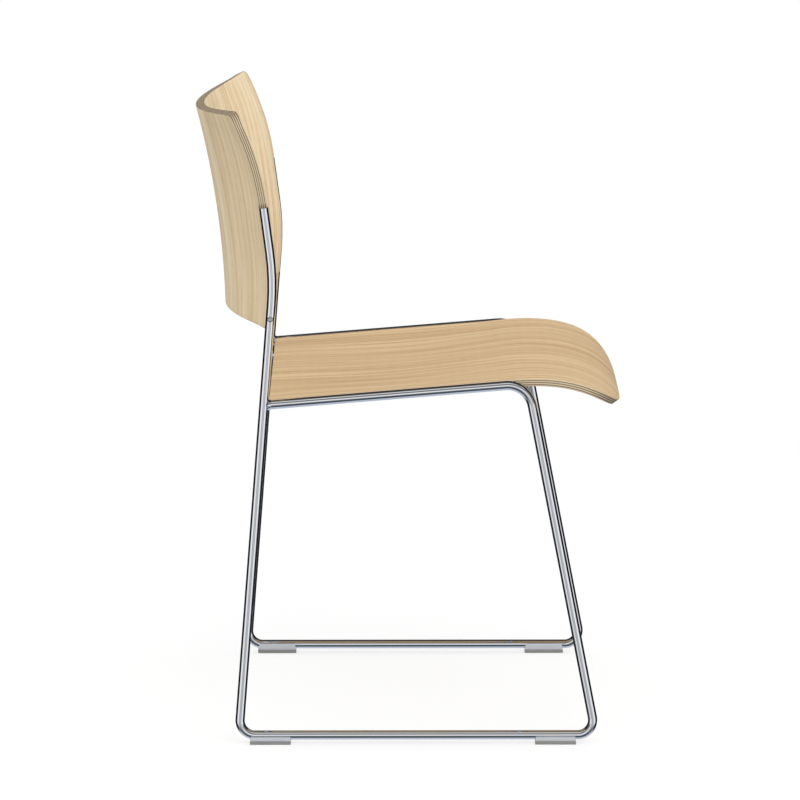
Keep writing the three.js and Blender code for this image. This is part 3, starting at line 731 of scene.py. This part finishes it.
def rod_ring(point, tangent, radius, matrix):
    side = Vector((-tangent.y, tangent.x))
    ring = []
    for j in range(ROD_SIDES):
        angle = 2 * pi * j / ROD_SIDES
        flat = point + side * radius * cos(angle)
        ring.append(matrix @ Vector((flat.x, flat.y, radius * sin(angle))))
    return ring


def weld_bead(name, matrix):
    """The dressed bead round the rail where it meets the upright, with faint ripples."""
    axis = Vector((RAIL.x, RAIL.y, 0))
    profile = [(ROD * 0.5, 0.0), (ROD * 1.04, ROD * 0.72), (ROD * 1.20, ROD * 0.98), (ROD * 1.17, ROD * 1.16),
               (ROD * 1.06, ROD * 1.38), (ROD * 0.99, ROD * 1.62), (ROD * 0.5, ROD * 1.62)]

    def ripple(i, angle):
        return 1 + (0.012 * sin(17 * angle + i) if 0 < i < len(profile) - 2 else 0)

    place = matrix @ facing(Vector((RAIL_FOOT.x, RAIL_FOOT.y, 0)), axis)
    return turned(name, profile, place, 72, ripple)


def make_frame(name, sign):
    matrix = frame_matrix(sign)
    rings = []
    for i, (point, tangent) in enumerate(rod_stations()):
        rings.append(rod_ring(point, tangent, ROD - END_CHAMFER if i == 0 else ROD, matrix))
    if sign > 0:
        rings = [list(reversed(ring)) for ring in rings]
    verts, faces = ring_strip(rings)
    rod = new_object(f"bent_rod_{name}", verts, faces)
    join_into(rod, weld_bead(f"weld_{name}", matrix))
    rod.data.set_sharp_from_angle(angle=radians(35))
    stand_in(rod, "chrome", CHROME, f"side_frame_{name}")


# ---------------------------------------------------------------- cross rods, tabs and fasteners


def make_cross_rod(row):
    low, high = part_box(f"{row}_cross_rod")
    radius = (high.z - low.z) / 2
    length = high.y - low.y
    dimple = 0.0015
    profile = [(0.0001, dimple * 1.6), (dimple, dimple * 0.7), (dimple, 0.0), (radius - END_CHAMFER, 0.0),
               (radius, END_CHAMFER)]
    profile += [(r, length - z) for r, z in reversed(profile)]
    centre = (low + high) / 2
    matrix = facing(Vector((centre.x, low.y, centre.z)), Vector((0, 1, 0)))
    obj = turned(f"{row}_stretcher", profile, matrix)
    obj.data.set_sharp_from_angle(angle=radians(40))
    stand_in(obj, "chrome", CHROME, f"{row}_cross_rod")


def softened_copy(name, node, slot, material, width):
    """A node's own shape with its arrises broken."""
    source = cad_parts[node]
    obj = bpy.data.objects.new(name, source.data.copy())
    bpy.context.scene.collection.objects.link(obj)
    merge = obj.modifiers.new("merge", "WELD")
    merge.merge_threshold = 1e-6
    flat = obj.modifiers.new("flat", "DECIMATE")
    flat.decimate_type = "DISSOLVE"
    flat.angle_limit = radians(1)
    apply_modifiers(obj)
    soften(obj, width)
    stand_in(obj, slot, material, node)


def hexagon(angle):
    return cos(pi / 6) / cos((angle % (pi / 3)) - pi / 6)


def make_screw(name, node, origin, axis, radius, head, head_height, length):
    """A button-head screw with a hexagon socket; the underside of its head is at the origin."""
    socket = head * 0.42
    profile = [
        (socket * 0.2, -head_height * 0.35),
        (socket, -head_height * 0.40),
        (socket, -head_height * 0.97),
        (socket * 1.12, -head_height),
        (head * 0.66, -head_height * 0.93),
        (head * 0.86, -head_height * 0.68),
        (head * 0.97, -head_height * 0.36),
        (head, -head_height * 0.08),
        (head * 0.97, 0.0),
        (radius, 0.0),
        (radius, length - radius * 0.5),
        (radius * 0.6, length),
    ]

    def shape(i, angle):
        return hexagon(angle) if i < 3 else 1

    obj = turned(name, profile, facing(origin, axis), 48, shape)
    obj.data.set_sharp_from_angle(angle=radians(35))
    stand_in(obj, "zinc", ZINC, node)


def make_fasteners(name, sign):
    matrix = frame_matrix(sign)
    outward = matrix.to_3x3() @ Vector((0, 0, -sign))
    low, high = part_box(f"back_screw_{name}")
    half_length = ((high.y - low.y) / cos(LEAN) - 2 * BUTTON_HEAD * tan(LEAN)) / 2
    centre = (low + high) / 2
    under_head = centre + outward * (half_length - BUTTON_HEIGHT)
    make_screw(f"button_screw_{name}", f"back_screw_{name}", under_head, -outward, BACK_SCREW, BUTTON_HEAD,
               BUTTON_HEIGHT, 2 * half_length - BUTTON_HEIGHT)
    for row in ROWS:
        label = f"{row}_{name}"
        low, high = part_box(f"seat_screw_{label}")
        pitch = math.atan(RAIL_SLOPE)
        axis = Vector((-sin(pitch), 0, cos(pitch)))
        centre = (low + high) / 2
        length = high.z - low.z - CAP_TILT
        origin = centre - axis * (length / 2 - CAP_HEIGHT)
        make_screw(f"cap_screw_{label}", f"seat_screw_{label}", origin, axis, SEAT_SCREW, CAP_HEAD,
                   CAP_HEIGHT, length - CAP_HEIGHT)
        softened_copy(f"mounting_tab_{label}", f"seat_tab_{label}", "chrome", CHROME, TAB_ARRIS)
        assign(f"seat_insert_{label}", BRASS)
    assign(f"back_insert_{name}", BRASS)
    assign(f"back_pin_{name}", ZINC)


def assign(node, material):
    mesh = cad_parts[node].data
    mesh.materials.clear()
    mesh.materials.append(material)


def make_glides(name):
    for row in ROWS:
        label = f"{row}_{name}"
        softened_copy(f"saddle_{label}", f"glide_saddle_{label}", "clear_plastic", CLEAR, SADDLE_ARRIS)
        softened_copy(f"sole_{label}", f"glide_sole_{label}", "grey_plastic", GREY, SOLE_ARRIS)


# ---------------------------------------------------------------- studio

CAMERA_X = -0.0391
CAMERA_Y = -6.899
CAMERA_Z = 1.6385
CAMERA_DOWN = radians(10.40)
CAMERA_TURN = radians(0.25)
CAMERA_LENS = 257.5
FLOOR_OPACITY = 0.30


def make_camera():
    data = bpy.data.cameras.new("camera")
    data.lens = CAMERA_LENS
    data.sensor_width = 36.0
    data.clip_end = 50.0
    camera = bpy.data.objects.new("camera", data)
    camera.location = (CAMERA_X, CAMERA_Y, CAMERA_Z)
    camera.rotation_euler = (pi / 2 - CAMERA_DOWN, 0.0, -CAMERA_TURN)
    bpy.context.scene.collection.objects.link(camera)
    bpy.context.scene.camera = camera


def area_light(name, location, target, size, power, colour=(1, 1, 1)):
    data = bpy.data.lights.new(name, "AREA")
    data.shape = "RECTANGLE"
    data.size, data.size_y = size
    data.energy = power
    data.color = colour
    light = bpy.data.objects.new(name, data)
    light.location = location
    light.rotation_euler = (Vector(target) - Vector(location)).to_track_quat("-Z", "Y").to_euler()
    light.visible_camera = False
    light.visible_glossy = False
    bpy.context.scene.collection.objects.link(light)


def make_floor():
    """A pale disc that fades out, so that only a faint contact shadow shows."""
    s = Shader("pale_floor")
    place = s.add("TexCoord", output=OBJECT_PLACE)
    reach = s.add("VectorMath", {0: place}, output=LENGTH, operation="LENGTH")
    grain = s.noise(place, 300.0, 2.0)
    s.set(Base_Color=s.mix(grain, (0.97, 0.97, 0.97), (0.99, 0.99, 0.99)), Roughness=0.9,
          Alpha=s.ramp(s.maths("MULTIPLY", reach, 0.5), (0.30, FLOOR_OPACITY), (0.85, 0.0)))
    s.surface.inputs["Specular IOR Level"].default_value = 0.1
    radii = (0.3, 0.6, 0.9, 1.2, 1.8)
    rings = [[Vector((r * cos(a), r * sin(a), 0)) for a in np.linspace(0, 2 * pi, 96, endpoint=False)]
             for r in radii]
    verts, faces = ring_strip(list(reversed(rings)), closed=False)
    faces.append(tuple(range(len(verts) - 96, len(verts))))
    floor = new_object("floor", verts, faces, smooth=False)
    floor.data.materials.append(s.material)
    floor.visible_glossy = False
    floor.visible_diffuse = False


PALE_SKIRT = (0.46, 0.53, 0.66)
NAVY = (0.040, 0.052, 0.070)
PANEL = (0.90, 0.90, 0.91)
WALL = (0.20, 0.20, 0.205)
HANGING_GREY = (0.38, 0.39, 0.41)


def make_world():
    """White to the eye. Polished metal sees bright panels in front, a dark room behind and a pale floor."""
    world = bpy.data.worlds.new("studio")
    world.use_nodes = True
    bpy.context.scene.world = world
    s = NodeTree(world.node_tree)
    background = s.nodes["Background"]
    parts = s.nodes.new("ShaderNodeSeparateXYZ")
    s.put(parts.inputs[0], s.add("TexCoord", output=DIRECTION))
    x, y, z = parts.outputs

    # The height of a direction, from 0 straight down to 1 straight up. The room's sides reach lower.
    level = s.maths("MULTIPLY_ADD", s.maths("ARCSINE", z), 1 / pi, 0.5)
    aside = s.ramp(s.maths("ABSOLUTE", x), (0.40, 0.0), (0.55, 1.0))
    level = s.maths("MULTIPLY_ADD", aside, 0.06, level)

    front = s.ramp(level, (0.10, PALE_SKIRT), (0.17, NAVY), (0.38, (0.10, 0.11, 0.12)),
                   (0.442, (0.36, 0.37, 0.39)), (0.478, PANEL), (0.57, PANEL), (0.61, WALL), (0.77, WALL),
                   (0.82, PANEL), (1.0, PANEL))
    behind = s.ramp(level, (0.30, (0.52, 0.57, 0.66)), (0.38, (0.012, 0.013, 0.018)),
                    (0.80, (0.012, 0.012, 0.014)), (0.97, (0.10, 0.09, 0.08)))
    doorway = s.ramp(level, (0.40, 0.0), (0.44, 1.0), (0.62, 1.0), (0.68, 0.0))
    doorway = s.maths("MULTIPLY", doorway, s.ramp(y, (0.88, 0.0), (0.94, 0.55)))
    behind = s.mix(doorway, behind, PANEL)
    backwards = s.maths("MULTIPLY_ADD", y, 0.5, 0.5)
    room = s.mix(s.ramp(backwards, (0.31, 0.0), (0.34, 1.0)), front, behind)

    # A grey hanging on each side of the middle of the front wall.
    across = s.ramp(s.maths("ABSOLUTE", x), (0.05, 0.0), (0.08, 1.0), (0.30, 1.0), (0.62, 0.0))
    upright = s.ramp(level, (0.40, 0.0), (0.44, 1.0), (0.50, 1.0), (0.53, 0.0))
    hanging = s.maths("MULTIPLY", across, upright)
    hanging = s.maths("MULTIPLY", hanging, s.ramp(backwards, (0.10, 1.0), (0.20, 0.0)))
    room = s.mix(hanging, room, HANGING_GREY)

    soft = s.ramp(level, (0.0, 0.34), (0.45, 0.60), (0.62, 1.0), (1.0, 1.08))
    path = s.nodes.new("ShaderNodeLightPath")
    seen = s.mix(path.outputs["Is Glossy Ray"], soft, room)
    seen = s.mix(path.outputs["Is Camera Ray"], seen, (1.0, 1.0, 1.0))
    s.put(background.inputs["Color"], seen)


def make_studio():
    make_camera()
    make_floor()
    make_world()
    area_light("key", (1.2, -2.6, 3.0), (0.0, 0.0, 0.4), (2.4, 2.4), 34)
    area_light("fill", (-3.0, 0.6, 1.8), (0.0, 0.0, 0.5), (1.8, 1.8), 8, (0.96, 0.98, 1.0))
    bpy.context.scene.view_settings.view_transform = "Standard"


# ---------------------------------------------------------------- the chair

make_studio()
make_seat()
make_back()
for row in ROWS:
    make_cross_rod(row)
for side, sign in SIDES:
    make_frame(side, sign)
    make_fasteners(side, sign)
    make_glides(side)
